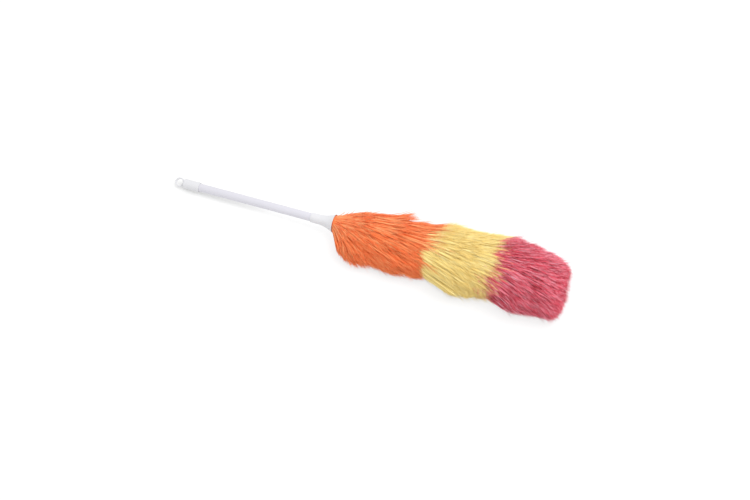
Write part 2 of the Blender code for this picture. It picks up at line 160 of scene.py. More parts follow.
# Loose wool on that outline: places along the head, and how full it is there on the near and on the far side.
# It falls in where a layer ends.
NEAR_SWELLS = (
    (0, 0.65), (0.02, 1.13), (0.045, 1.11), (0.065, 1.04), (0.085, 0.97), (0.12, 0.98), (0.15, 0.88),
    (0.165, 0.83), (0.185, 0.95), (0.212, 1.09), (0.235, 0.93), (0.252, 0.87), (0.27, 0.95), (0.3, 1.06),
    (0.33, 0.98))
FAR_SWELLS = (
    (0, 0.9), (0.03, 0.92), (0.053, 1.0), (0.07, 0.89), (0.085, 0.8), (0.096, 0.92), (0.119, 1.16),
    (0.126, 0.94), (0.14, 0.93), (0.152, 0.8), (0.165, 0.82), (0.177, 1.12), (0.195, 0.99), (0.23, 1.01),
    (0.255, 1.05), (0.275, 1.13), (0.31, 1.07), (0.34, 1.04))

# A bundle's shortest strands, as a share of its full ones, on the far side and on the near side. The first
# bundles cover the head near the ferrule, and short pink strands show at the end of the yellow ones.
SHORTEST = {
    0: (0.07, 0.07), 1: (0.4, 0.4), 2: (0.72, 0.72),
    7: (0.76, 0.45), 8: (0.82, 0.5), 9: (0.82, 0.6), 10: (0.82, 0.7)}
EVENLY_SHORT = (LOCK_SHORTEST, LOCK_SHORTEST)

# A bundle's full length, as a factor on the locks' reach, from the far side, at 0, to the near side, at 1.
LENGTHS = {
    2: ((0, 1.16), (0.28, 1.13), (0.48, 1.22), (0.56, 1.06), (1, 1.03)),
    3: ((0, 1.14), (0.28, 1.1), (0.48, 1.14), (0.56, 1.02), (1, 0.98)),
    6: ((0, 0.94), (0.5, 1.04), (1, 0.88)),
}
EVENLY_LONG = ((0, 1), (1, 1))

# Least and most of what is drawn by chance for a tuft, a wisp or a strand. All are factors but the gaps, the
# distances between the table and what lies on it.
STRAND_LENGTHS = (0.94, 1.04)
LONG_WISPS = (1, 1.25)
RAGGED_TIPS = (0.962, 0.993)
TUFT_FULLNESS = (0.94, 1.03)
STRAND_SIZES = (0.7, 1.25)
TIP_WISPS = (0.967, 0.988)
TIP_STRANDS = (0.985, 1.003)
TABLE_GAPS = (0.0001, 0.0016)

# How far tufts and wisps are turned from their even places round the rod, in radians.
TURN_SPREAD = 0.1

# Wisps and strands are spread by at most this many times their group's radius, and outwards by this share of
# that. A strand wanders by this share of its wisp's radius.
MOST_SPREAD = 2
OUTWARD_SPREAD = 0.2
STRAND_WANDER = 0.25

# How tufts and stray wisps leave the even path: the higher, the nearer to their tips.
RUFFLE_POWER = 1.5
STRAY_POWER = 3

# How strands leave the rod: straight at 1, later above it and sooner below it.
FAN_POWER = 1.1
LYING_FAN_POWER = 0.5
TIP_FAN_POWER = 0.9

# Tones run from 0, deep, to 1, light. The bound roots have one tone, and a strand's tone comes in these parts
# from its tuft, its wisp and itself.
ROOT_TONE = 0.2
MIDDLE_TONE = 0.5
TUFT_TONE = 0.3
WISP_TONE = 0.6
OWN_TONE = 0.8

# A strand is a closed three-sided sliver. Its stations are shares of its length.
STATIONS = np.array((0, 0.12, 0.45, 0.8, 1))
TAPER = np.array((0.8, 1, 1, 0.9, 0))

# Closer points are one, and a shorter vector has no direction.
MERGE_DISTANCE = 1e-6
NO_LENGTH = 1e-9

# Stage.
TABLE_HALF_WIDTH = 8
TABLE_COLOUR = (0.94, 0.94, 0.94)
TABLE_GLOW = 0.82
TABLE_SHADOW_SHARE = 0.22
CLOSE_SHADOW_REACH = 0.011
KEY_LAMP_PLACE = Vector((0.6, 0.15, 1.75))
KEY_LAMP_SIZE = 1.2

BLACK = (0, 0, 0)
WHITE = (1, 1, 1)

# Places of the two colours and of their mix among the sockets of a Mix node.
FIRST_COLOUR = 6
SECOND_COLOUR = 7
MIXED_COLOUR = 2


def lock_radius(reach):
    """How far from the axis an even, round head has its wool, this far beyond the roots."""
    risen = LOCK_RISE * (1 - np.exp(-reach / LOCK_RISE_LENGTH))
    return BAND_RADIUS + risen + LAYER_SPACING / BUNDLE_PITCH * reach


def flare(along, full, length):
    """How far the head has spread by this point, from the mouth's radius to its full size."""
    return MOUTH_RADIUS + (full - MOUTH_RADIUS) * (1 - np.exp(-np.maximum(along, 0) / length))


def tip_draw(along, draw):
    """The head draws in towards its tip, by this share of its size at the end."""
    share = np.maximum(0, (along - HEAD_END) / TIP_DRAW_LENGTH + 1)
    return 1 - draw * share ** TIP_DRAW_POWER


def table_depth(along):
    """How far below the axis the table is, square to the axis."""
    return (MOUTH.z + along * ALONG.z) / UP.z


def head_radius(along, angle):
    """Outer radius of the head as it lies."""
    sideways = np.cos(angle)
    upwards = np.sin(angle)
    far = flare(along, HEAD_FAR, FAR_FLARE) * tip_draw(along, FAR_TIP_DRAW)
    near = flare(along, HEAD_NEAR, NEAR_FLARE) * tip_draw(along, NEAR_TIP_DRAW)
    top = flare(along, HEAD_TOP, TOP_FLARE) * tip_draw(along, TOP_TIP_DRAW)
    low = table_depth(along) * (1 - np.exp(-np.maximum(along - LOW_FLARE_START, 0) / LOW_FLARE))
    half_width = np.where(sideways > 0, far, near)
    height = np.where(upwards > 0, top, np.maximum(low, BAND_RADIUS))
    roundness = np.where(upwards > 0, UPPER_ROUNDNESS, LOWER_ROUNDNESS)
    total = np.abs(sideways / half_width) ** roundness + np.abs(upwards / height) ** roundness
    return total ** (-1 / roundness)


def pressed(along, angle, even):
    """Radius in the head as it lies, for a radius in an even, round head."""
    outermost = lock_radius(np.minimum(along - FIRST_ROOT, LOCK_REACH))
    settled = np.clip(along / LOCK_KNEE, 0, 1)
    room = np.maximum(outermost - STILL_RADIUS, THINNEST_WOOL)
    share = 1 + ((head_radius(along, angle) - STILL_RADIUS) / room - 1) * settled
    return np.where(even > STILL_RADIUS, STILL_RADIUS + (even - STILL_RADIUS) * share, even)


def nearness(angle):
    """1 towards the near, low side, where the strands fan out most, and 0 on the opposite side."""
    return 0.5 - 0.5 * np.cos(angle - FAR_MIDDLE)


def tip_round(angle):
    """How far short of the tip's middle its outside ends."""
    return FAR_TIP_ROUND + (NEAR_TIP_ROUND - FAR_TIP_ROUND) * nearness(angle)


def swell(along, angle, wool):
    """How far the loose wool stands out from the even outline, as a factor."""
    near, far = (np.interp(along, *zip(*swells)) for swells in (NEAR_SWELLS, FAR_SWELLS))
    return 1 + (far - 1 + (near - far) * nearness(angle)) * wool.looseness


def sagged(angle, wool):
    """Angles along a strand that has sagged round the rod, away from the parting on the far side."""
    return angle + wool.sweep * np.sin(angle - PARTING) * STATIONS


def in_world(along, angle, radius):
    """Turns places on the head into world places."""
    sideways = radius * np.cos(angle)
    upwards = radius * np.sin(angle)
    parts = [np.multiply.outer(value, np.array(axis)) for value, axis in (
        (along, ALONG), (sideways, ACROSS), (upwards, UP))]
    return np.array(MOUTH) + sum(parts)


def unit(vectors):
    return vectors / np.maximum(np.linalg.norm(vectors, axis=-1, keepdims=True), NO_LENGTH)


def add_object(name, data):
    """Adds an object with this mesh, lamp or camera to the scene."""
    thing = bpy.data.objects.new(name, data)
    bpy.context.scene.collection.objects.link(thing)
    return thing


def strand_template():
    """One closed three-sided strand along Z, with a ring at each whole number and a pointed end."""
    shape = bmesh.new()
    bmesh.ops.create_circle(shape, cap_ends=True, segments=3, radius=1)
    top = list(shape.faces)[0]
    for _ in STATIONS[1:]:
        # With its edges, so that no face is left inside.
        lifted = bmesh.ops.extrude_face_region(shape, geom=[top, *top.edges, *top.verts])["geom"]
        top = next(part for part in lifted if isinstance(part, bmesh.types.BMFace))
        ring = list(top.verts)
        bmesh.ops.translate(shape, verts=ring, vec=(0, 0, 1))
    bmesh.ops.pointmerge(shape, verts=ring, merge_co=(0, 0, len(STATIONS) - 1))
    bmesh.ops.recalc_face_normals(shape, faces=shape.faces)
    return shape


def repeated(shape, count):
    """A mesh that holds this many copies of a shape, one after another."""
    seed = bpy.data.meshes.new("seed")
    shape.to_mesh(seed)
    shape.free()
    thing = add_object("seed", seed)
    copies = thing.modifiers.new("copies", "ARRAY")
    copies.count = count
    copies.use_relative_offset = False
    graph = bpy.context.evaluated_depsgraph_get()
    mesh = bpy.data.meshes.new_from_object(thing.evaluated_get(graph))
    bpy.data.objects.remove(thing)
    bpy.data.meshes.remove(seed)
    return mesh


def strands_mesh(paths, half_width, half_thick, twist, settle):
    """Closed strands along the given paths, which are (strand, station, xyz).

    Their flat sides look away from the rod, and upwards by the share that has settled. With the mesh come its
    points' stations and strands.
    """
    mesh = repeated(strand_template(), len(paths))
    points = np.empty(len(mesh.vertices) * 3)
    mesh.vertices.foreach_get("co", points)
    points = points.reshape(len(paths), -1, 3)
    station = np.rint(points[:, :, 2]).astype(int)
    strand = np.arange(len(paths))[:, None]

    mouth = np.array(MOUTH)
    rod = np.array(ALONG)
    on_rod = mouth + ((paths - mouth) @ rod)[..., None] * rod
    outward = unit(paths - on_rod) + settle * np.array((0, 0, 1))
    forward = unit(np.gradient(paths, axis=1))
    side = unit(np.cross(outward, forward))
    lift = np.cross(forward, side)
    cos = np.cos(twist)[:, None, None]
    sin = np.sin(twist)[:, None, None]
    side, lift = side * cos + lift * sin, lift * cos - side * sin

    sideways = half_width[:, None, None] * points[:, :, :1] * side[strand, station]
    upwards = half_thick[:, None, None] * points[:, :, 1:2] * lift[strand, station]
    places = paths[strand, station] + TAPER[station][..., None] * (sideways + upwards)
    mesh.vertices.foreach_set("co", places.ravel())
    mesh.update()
    return mesh, station, strand


def revolved(profile):
    """A closed outline of (along, out) points turned round the duster's axis."""
    shape = bmesh.new()
    vertices = [shape.verts.new(MOUTH + along * ALONG + out * UP) for along, out in profile]
    edges = [shape.edges.new(pair) for pair in zip(vertices, vertices[1:] + vertices[:1])]
    bmesh.ops.spin(
        shape,
        geom=vertices + edges,
        cent=MOUTH,
        axis=ALONG,
        angle=math.tau,
        steps=BAND_SEGMENTS,
        use_merge=True,
    )
    bmesh.ops.remove_doubles(shape, verts=shape.verts, dist=MERGE_DISTANCE)
    bmesh.ops.delete(shape, geom=[edge for edge in shape.edges if edge.is_wire], context="EDGES")
    bmesh.ops.recalc_face_normals(shape, faces=shape.faces)
    return shape


def root_band(root):
    """The bound roots of a bundle, with rounded edges."""
    rear = root - BAND_LENGTH
    return revolved([
        (rear, ROD_HOLE_RADIUS),
        (rear, BAND_RADIUS - BAND_ROUND_OFF),
        (rear + BAND_ROUND_OFF, BAND_RADIUS),
        (root - BAND_ROUND_OFF, BAND_RADIUS),
        (root, BAND_RADIUS - BAND_ROUND_OFF),
        (root, ROD_HOLE_RADIUS),
    ])


def tip_block():
    """The block that closes the end of the rod."""
    rear = TIP_FRONT - TIP_BLOCK_LENGTH
    floor = TIP_FRONT - TIP_BLOCK_FRONT_WALL
    return revolved([
        (TIP_FRONT, 0),
        (TIP_FRONT, TIP_BLOCK_RADIUS),
        (rear, TIP_BLOCK_RADIUS),
        (rear, ROD_HOLE_RADIUS),
        (floor, ROD_HOLE_RADIUS),
        (floor, 0),
    ])


def add_shape(mesh, shape):
    """Adds a shape to a mesh, after what it holds."""
    added = bpy.data.meshes.new("added")
    shape.to_mesh(added)
    shape.free()
    whole = bmesh.new()
    whole.from_mesh(mesh)
    whole.from_mesh(added)
    whole.to_mesh(mesh)
    whole.free()
    bpy.data.meshes.remove(added)


class Socket:
    """A node's output. Sums and products of it add Math nodes."""

    def __init__(self, paint, link):
        self.paint = paint
        self.link = link

    def maths(self, operation, first, second):
        return self.paint.node("ShaderNodeMath", {"operation": operation}, {0: first, 1: second})

    def __add__(self, other):
        return self.maths("ADD", self, other)

    def __radd__(self, other):
        return self.maths("ADD", other, self)

    def __mul__(self, other):
        return self.maths("MULTIPLY", self, other)

    def __rmul__(self, other):
        return self.maths("MULTIPLY", other, self)


def set_stops(ramp, stops):
    """Gives a colour ramp its stops, which are (place, colour)."""
    while len(ramp.elements) < len(stops):
        ramp.elements.new(0)
    for element, (place, colour) in zip(ramp.elements, stops):
        element.position = place
        element.color = colour


class Paint:
    """A material, and the nodes that are added to it."""

    def __init__(self, name):
        self.material = bpy.data.materials.new(name)
        self.material.use_nodes = True
        self.tree = self.material.node_tree
        self.tree.nodes.clear()

    def node(self, kind, settings=None, values=None, output=0):
        """Adds a node, with its settings first and then the values or links of its inputs."""
        made = self.tree.nodes.new(kind)
        for key, value in (settings or {}).items():
            if key == "stops":
                set_stops(made.color_ramp, value)
            else:
                setattr(made, key, value)
        for key, value in (values or {}).items():
            if isinstance(value, Socket):
                self.tree.links.new(value.link, made.inputs[key])
            else:
                made.inputs[key].default_value = value
        return Socket(self, made.outputs[output] if made.outputs else None)

    def blend(self, first, second, share):
        """A colour between two colours, by a share that may vary over the surface."""
        values = {"Factor": share, FIRST_COLOUR: first, SECOND_COLOUR: second}
        return self.node("ShaderNodeMix", {"data_type": "RGBA"}, values, MIXED_COLOUR)

    def finish(self, surface):
        self.node("ShaderNodeOutputMaterial", values={"Surface": surface})
        return self.material


def mixed(first, second, share):
    """A plain colour between two colours, with its alpha."""
    return (*(a + (b - a) * share for a, b in zip(first[:3], second[:3])), 1.0)


def uneven(value, spread, pattern):
    """A value that varies by this spread with a pattern that runs from 0 to 1."""
    return value - spread / 2 + spread * pattern


def wool_paint(name, body, light, deep, look):
    """Split film: each strand has its own tone, darker towards its roots as painted shade between the
    strands.
    """
    paint = Paint(name)
    tone = paint.node("ShaderNodeAttribute", {"attribute_name": "tone"}, output="Fac")
    stops = ((0.0, (*deep, 1)), (0.3, mixed(deep, body, 0.7)), (0.55, (*body, 1)), (1.0, (*light, 1)))
    colour = paint.node("ShaderNodeValToRGB", {"stops": stops}, {"Fac": tone})
    shader = paint.node("ShaderNodeBsdfPrincipled", values={
        "Base Color": colour,
        "Roughness": look.wool_roughness,
        "Sheen Weight": look.wool_sheen,
        "Sheen Roughness": 0.4,
        "Sheen Tint": mixed(light, WHITE, 0.5),
        "Specular IOR Level": 0.35,
    })
    return paint.finish(shader)


def film_paint(look, colour):
    """The finish of one colour of wool."""
    body, light, deep = (getattr(look, colour + tone) for tone in ("", "_light", "_deep"))
    return wool_paint(f"{colour}_film", body, light, deep, look)


def moulded_paint(name, colour, roughness, grain):
    """Satin moulded plastic: a trace of uneven colour and gloss, and a fine orange-peel surface."""
    paint = Paint(name)
    place = paint.node("ShaderNodeTexCoord", output="Object")
    cloud = paint.node("ShaderNodeTexNoise", values={"Vector": place, "Scale": 90.0, "Detail": 3.0})
    peel = paint.node("ShaderNodeTexNoise", values={"Vector": place, "Scale": grain, "Detail": 2.0})
    bump = paint.node("ShaderNodeBump", values={"Strength": 0.12, "Distance": 0.0002, "Height": peel})
    shader = paint.node("ShaderNodeBsdfPrincipled", values={
        "Base Color": paint.blend(mixed(colour, BLACK, 0.03), mixed(colour, WHITE, 0.05), cloud),
        "Roughness": uneven(roughness, 0.1, cloud),
        "Normal": bump,
    })
    return paint.finish(shader)


def drawn_paint(name, colour, roughness):
    """A drawn tube: smooth, with faint lines along it."""
    paint = Paint(name)
    place = paint.node("ShaderNodeTexCoord", output="Object")
    slope = math.asin(ALONG.z)
    lines_at = paint.node("ShaderNodeMapping", values={
        "Vector": place, "Rotation": (0, slope, 0), "Scale": (8, 900, 900)})
    lines = paint.node("ShaderNodeTexNoise", values={"Vector": lines_at, "Scale": 1.0, "Detail": 2.0})
    cloud = paint.node("ShaderNodeTexNoise", values={"Vector": place, "Scale": 40.0, "Detail": 2.0})
    share = 0.7 * lines + 0.3 * cloud
    bump = paint.node("ShaderNodeBump", values={"Strength": 0.06, "Distance": 0.0002, "Height": lines})
    shader = paint.node("ShaderNodeBsdfPrincipled", values={
        "Base Color": paint.blend(mixed(colour, BLACK, 0.05), mixed(colour, WHITE, 0.06), share),
        "Roughness": uneven(roughness, 0.12, lines),
        "Normal": bump,
    })
    return paint.finish(shader)


def table_paint(name):
    """White to the eye and in reflections, where it keeps the shadows, and a plain pale table to other light.

    The glow is dimmer close under things, where little light gets in.
    """
    paint = Paint(name)
    rays = [paint.node("ShaderNodeLightPath", output=kind)
            for kind in ("Is Camera Ray", "Is Glossy Ray", "Is Transmission Ray")]
    seen = rays[0] + rays[1] + rays[2]
    lit = paint.node("ShaderNodeBsdfDiffuse", values={"Color": mixed(BLACK, WHITE, TABLE_SHADOW_SHARE)})
    gap = paint.node("ShaderNodeAmbientOcclusion", {"samples": 8}, {"Distance": CLOSE_SHADOW_REACH})
    glow = paint.blend((*WHITE, 1), gap, 0.5)
    shine = paint.node("ShaderNodeEmission", values={"Color": glow, "Strength": TABLE_GLOW})
    shown = paint.node("ShaderNodeAddShader", values={0: lit, 1: shine})
    plain = paint.node("ShaderNodeBsdfDiffuse", values={"Color": (*TABLE_COLOUR, 1)})
    return paint.finish(paint.node("ShaderNodeMixShader", values={0: seen, 1: plain, 2: shown}))


def length_property(name, description, default):
    return bpy.props.FloatProperty(
        name=name, description=description, default=default, min=0, unit="LENGTH")


def angle_property(name, description, degrees):
    return bpy.props.FloatProperty(
        name=name, description=description, default=math.radians(degrees),
        subtype="ANGLE", unit="ROTATION")


def share_property(name, description, default, most=1):
    return bpy.props.FloatProperty(
        name=name, description=description, default=default, subtype="FACTOR", min=0, max=most)


def count_property(name, description, default):
    return bpy.props.IntProperty(name=name, description=description, default=default, min=1)


def colour_property(name, description, default):
    return bpy.props.FloatVectorProperty(
        name=name, description=description, default=default, subtype="COLOR", size=3, min=0, max=1)


class DusterWool(bpy.types.PropertyGroup):
    """How the strands of wool are made and how they lie"""

    strand_width: length_property("Strand width", "Width of a strand of film", 0.0011)
    strand_thickness: length_property("Strand thickness", "Thickness of a strand", 0.00025)
    twist: angle_property("Twist", "How far strands may be turned out of the surface", 12)
    settle: share_property("Settle", "How far the strands' flat sides have turned to look up", 1.4, 3)
    tufts_per_lock: count_property("Tufts per lock", "Tufts that each lock splits into", 14)
    wisps_per_tuft: count_property("Wisps per tuft", "Wisps that each tuft splits into", 6)
    strands_per_wisp: count_property("Strands per wisp", "Strands in each wisp", 3)
    tuft_radius: length_property("Tuft radius", "How far wisps stray from their tuft's middle", 0.003)
    wisp_radius: length_property("Wisp radius", "How far strands stray from their wisp's middle", 0.0008)
    ruffle: length_property("Ruffle", "How far tufts stray at their tips", 0.0004)
    inset: share_property(
        "Inset", "How far inside the head's outline a tip may end, as a share of its radius", 0.055, 0.5)
    tip_inset: share_property(
        "Tip inset", "The same for the last bundle, which fills the blunt end", 0.5, 0.8)
    near_fan: share_property("Near fan", "How far the strands fan out on the near side", 1)
    far_fan: share_property("Far fan", "How far the strands fan out on the far side", 0.7)
    lying_share: share_property("Lying wisps", "Share of the wisps that lie along the outside", 0.15)
    long_share: share_property("Long wisps", "Share of the wisps that are longer than the rest", 0.2)
    stray_share: share_property("Stray wisps", "Share of the wisps that stand out from the rest", 0.03)
    stray_reach: length_property("Stray reach", "How far stray wisps stand out", 0.0085)
    looseness: share_property("Looseness", "How much the wool swells and falls in along the head", 1)
    sweep: angle_property("Sweep", "How far the tips sag round the rod", 20)
    contrast: share_property("Contrast", "How much strands differ in tone", 0.36)
    # Painted shade: the strands' colour is darkened towards the roots, where the strands shade each other
    # near the rod.
    painted_root_shade: share_property("Root shade", "How much deeper in colour the roots are", 0.14)
    seed: bpy.props.IntProperty(name="Seed", description="Start of the random numbers", default=7)


class DusterColours(bpy.types.PropertyGroup):
    """Colours and gloss of the pieces"""

    orange: colour_property("Orange", "Body of the orange wool", (1.0, 0.28, 0.085))
    orange_light: colour_property("Light orange", "Lightest orange strands", (1.0, 0.42, 0.17))
    orange_deep: colour_property("Deep orange", "Darkest orange strands", (1.0, 0.2, 0.05))
    yellow: colour_property("Yellow", "Body of the yellow wool", (1.0, 0.81, 0.3))
    yellow_light: colour_property("Light yellow", "Lightest yellow strands", (1.0, 0.87, 0.42))
    yellow_deep: colour_property("Deep yellow", "Darkest yellow strands", (1.0, 0.77, 0.28))
    pink: colour_property("Pink", "Body of the pink wool", (1.0, 0.135, 0.205))
    pink_light: colour_property("Light pink", "Lightest pink strands", (1.0, 0.5, 0.6))
    pink_deep: colour_property("Deep pink", "Darkest pink strands", (0.32, 0.006, 0.018))
    plastic: colour_property("White plastic", "Cap and ferrule", (0.72, 0.72, 0.745))
    tube: colour_property("Tube", "Handle tube", (0.675, 0.665, 0.725))
    rod: colour_property("Rod", "Core rod", (0.75, 0.73, 0.66))
    metal: colour_property("Wire", "Binding rings", (0.55, 0.55, 0.55))
    wool_roughness: share_property("Wool roughness", "Roughness of the film", 0.5)
    wool_sheen: share_property("Wool sheen", "Soft sheen of the film", 0.5)
    plastic_roughness: share_property("Plastic roughness", "Roughness of the cap and the ferrule", 0.4)
    tube_roughness: share_property("Tube roughness", "Roughness of the tube", 0.34)
    rod_roughness: share_property("Rod roughness", "Roughness of the core rod", 0.5)
    metal_roughness: share_property("Wire roughness", "Roughness of the binding rings", 0.35)


class DusterStage(bpy.types.PropertyGroup):
    """The camera and the light"""

    azimuth: angle_property("Azimuth", "Camera's turn round the duster", 20.86)
    elevation: angle_property("Elevation", "Camera's height above the table", 55)
    distance: length_property("Distance", "From the camera to what it looks at", 3.0)
    target: bpy.props.FloatVectorProperty(
        name="Target", description="What the camera looks at", default=MOUTH + TARGET_FROM_MOUTH,
        subtype="XYZ", size=3, unit="LENGTH")
    lens: bpy.props.FloatProperty(
        name="Lens", description="Focal length in millimetres", default=98.4, min=1, unit="CAMERA")
    sky: bpy.props.FloatProperty(
        name="Sky", description="Strength of the even light", default=0.78, min=0)
    key: bpy.props.FloatProperty(
        name="Key lamp", description="Power of the big soft lamp", default=20.5, min=0, unit="POWER")


class Strands:
    """Which wisp and which tuft each strand is in, and the random part of its place and of its tone."""

    def __init__(self, wool, number):
        """The strands of the bundle with this number. The tip bundle's number is one past the last."""
        self.chance = np.random.default_rng(wool.seed + number)
        self.wool = wool
        self.tufts = LOCKS_PER_BUNDLE * wool.tufts_per_lock
        self.wisps = self.tufts * wool.wisps_per_tuft
        self.count = self.wisps * wool.strands_per_wisp
        self.wisp = np.arange(self.count) // wool.strands_per_wisp
        self.tuft = self.wisp // wool.wisps_per_tuft

    def each_tuft(self, low, high):
        return self.chance.uniform(low, high, self.tufts)[self.tuft]

    def each_wisp(self, low, high):
        return self.chance.uniform(low, high, self.wisps)[self.wisp]

    def each_strand(self, low, high):
        return self.chance.uniform(low, high, self.count)

    def as_first(self, values):
        """Gives all the strands of a wisp the value of its first one."""
        return values[self.wisp * self.wool.strands_per_wisp]

    def around(self, count, radius):
        """Sideways and outward distances of this many wisps or strands from the middle of their group."""
        flatter = np.array((1, OUTWARD_SPREAD))[:, None, None]
        spread = np.clip(self.chance.normal(size=(2, count, 1)), -MOST_SPREAD, MOST_SPREAD)
        return spread * radius * flatter

    def strays(self):
        """Sideways and outward distances from the even path, at each station."""
        wool = self.wool
        stations = len(STATIONS)
        tuft = self.chance.normal(size=(2, self.tufts, stations)) * wool.ruffle * STATIONS ** RUFFLE_POWER
        wisp = self.around(self.wisps, wool.tuft_radius)
        own = self.around(self.count, wool.wisp_radius)
        wander = self.chance.normal(size=(2, self.count, stations)) * wool.wisp_radius
        wander *= STRAND_WANDER * STATIONS
        stray = self.as_first(self.each_strand(0, 1)) < wool.stray_share
        out = stray * self.each_strand(0, 1) * wool.stray_reach
        wander[1] += out[:, None] * STATIONS ** STRAY_POWER
        return tuft[:, self.tuft] + wisp[:, self.wisp] + own + wander

    def tones(self):
        """A tone for each strand, part of it shared by its wisp and its tuft."""
        tuft = self.chance.normal(size=self.tufts)[self.tuft]
        wisp = self.chance.normal(size=self.wisps)[self.wisp]
        own = self.chance.normal(size=self.count)
        return MIDDLE_TONE + self.wool.contrast * (TUFT_TONE * tuft + WISP_TONE * wisp + OWN_TONE * own)


def bundle_angles(strands):
    """Angles along a bundle's strands, whose tufts lie evenly round the rod but for a little chance."""
    turn = (strands.tuft + strands.each_tuft(-0.5, 0.5)) / strands.tufts * math.tau
    turn += strands.each_tuft(-TURN_SPREAD, TURN_SPREAD)
    turn += strands.each_wisp(-TURN_SPREAD, TURN_SPREAD)
    return sagged(turn[:, None], strands.wool)


def bundle_lengths(strands, number, near):
    """Lengths of a bundle's strands, before the blunt tip cuts them."""
    shortest = np.interp(near, (0, 1), SHORTEST.get(number, EVENLY_SHORT))
    share = (strands.each_tuft(0, 1) + strands.each_wisp(0, 1)) / 2
    length = LOCK_REACH * (shortest + (1 - shortest) * share)
    long = strands.each_wisp(0, 1) < strands.wool.long_share
    length *= np.where(long, strands.each_wisp(*LONG_WISPS), 1)
    length *= np.interp(near, *zip(*LENGTHS.get(number, EVENLY_LONG)))
    return length * strands.each_strand(*STRAND_LENGTHS)


def fan_from_mouth(strands, length, angle, fullness):
    """The first bundle's places along the rod, radii and freedom to stray, at each station.

    It comes out through the ferrule's mouth, which its second station is at, in a straight fan.
    """
    beyond = np.clip((STATIONS - STATIONS[1]) / (1 - STATIONS[1]), 0, 1)
    along = np.where(STATIONS == 0, -BELL_ROOT_DEPTH * BELL_DEPTH, length * beyond)
    crowd = np.sqrt(strands.each_wisp(MOUTH_FREE, 1))[:, None]
    at_floor = BELL_ROOT_RADIUS * BELL_FLOOR_RADIUS
    at_mouth = MOUTH_FILLED * MOUTH_RADIUS
    rear = np.where(STATIONS == 0, at_floor, at_mouth) * crowd
    end = head_radius(length, angle[:, -1:]) * fullness
    return along, rear + (end - rear) * beyond ** FAN_POWER, beyond


def fan_from_root(strands, number, length, angle, fullness):
    """Another bundle's places along the rod, radii and freedom to stray, at each station.

    Its strands lie combed back over the bundle in front, or fan out straight, or are between the two.
    """
    wool = strands.wool
    reach = length * STATIONS
    along = FIRST_ROOT + BUNDLE_PITCH * number + reach
    free = np.clip(reach / LOCK_KNEE, 0, 1)
    layer = strands.each_tuft(-0.5, 0.5)[:, None] * LAYER_SPACING * free
    combed = pressed(along, angle, lock_radius(reach) + layer)
    end = head_radius(along[:, -1:], angle[:, -1:]) * fullness
    combed = BAND_RADIUS + (combed - BAND_RADIUS) * (end - BAND_RADIUS) / (combed[:, -1:] - BAND_RADIUS)
    lying_share = 0 if number in FIRST_OF_COLOUR.values() else wool.lying_share
    lying = (strands.each_wisp(0, 1) < lying_share)[:, None]
    fanned = BAND_RADIUS + (end - BAND_RADIUS) * STATIONS ** np.where(lying, LYING_FAN_POWER, FAN_POWER)
    share = wool.far_fan + (wool.near_fan - wool.far_fan) * nearness(angle)
    outline = head_radius(along, angle) * swell(along, angle, wool)
    radius = np.minimum(combed + (fanned - combed) * share, np.maximum(outline, BAND_RADIUS))
    return along, radius, free


def strayed(along, angle, radius, free, strays):
    """World places of strands that stray from their even paths as far as they are free to."""
    sideways, outwards = strays
    angle = angle + sideways * free / np.maximum(radius, BAND_RADIUS)
    return in_world(along, angle, np.abs(radius + outwards * free))


def bundle_paths(strands, number):
    """Paths of a bundle's strands, which end on the head's outline or a little inside it."""
    wool = strands.wool
    root = FIRST_ROOT + BUNDLE_PITCH * number
    angle = bundle_angles(strands)
    end_angle = angle[:, -1:]
    length = bundle_lengths(strands, number, nearness(end_angle)[:, 0])[:, None]
    depth = strands.each_wisp(0, 1)[:, None]
    inset = wool.inset * depth ** 2
    if number == LAST_BUNDLE:
        inset = np.maximum(inset, wool.tip_inset * depth)
    blunt = TIP_END - tip_round(end_angle) * (1 - inset) ** TIP_BLUNTNESS
    ragged = strands.as_first(strands.each_strand(*RAGGED_TIPS))[:, None]
    length = np.minimum(length, blunt * ragged - root)
    fullness = (1 - inset) * swell(length + max(root, 0), end_angle, wool)
    fullness *= strands.each_tuft(*TUFT_FULLNESS)[:, None]
    strays = strands.strays()
    if number == 0:
        along, radius, free = fan_from_mouth(strands, length, angle, fullness)
    else:
        along, radius, free = fan_from_root(strands, number, length, angle, fullness)
    return strayed(along, angle, radius, free, strays)


def tip_paths(strands):
    """Paths of the tip bundle's strands, which fan out from the front of the block on the rod's end."""
    share = np.sqrt(strands.each_tuft(0, 1))[:, None]
    angle = sagged(strands.each_tuft(0, math.tau)[:, None], strands.wool)
    end = TIP_END - tip_round(angle[:, -1:]) * share ** TIP_BLUNTNESS
    end = end * (strands.each_wisp(*TIP_WISPS) * strands.each_strand(*TIP_STRANDS))[:, None]
    reach = (end - TIP_FRONT) * STATIONS
    along = TIP_FRONT - TIP_ROOT_DEPTH + reach
    rear = share * (TIP_BLOCK_RADIUS - TIP_ROOT_INSET)
    radius = rear + (share * head_radius(end, angle[:, -1:]) - rear) * STATIONS ** TIP_FAN_POWER
    free = np.clip(reach / LOCK_KNEE, 0, 1)
    return strayed(along, angle, radius, free, strands.strays())


def on_table(strands, paths, half_width):
    """Lifts what would lie below the table top on to it."""
    lowest = half_width + strands.each_strand(*TABLE_GAPS)
    paths[..., 2] = np.maximum(paths[..., 2], lowest[:, None])
    return paths


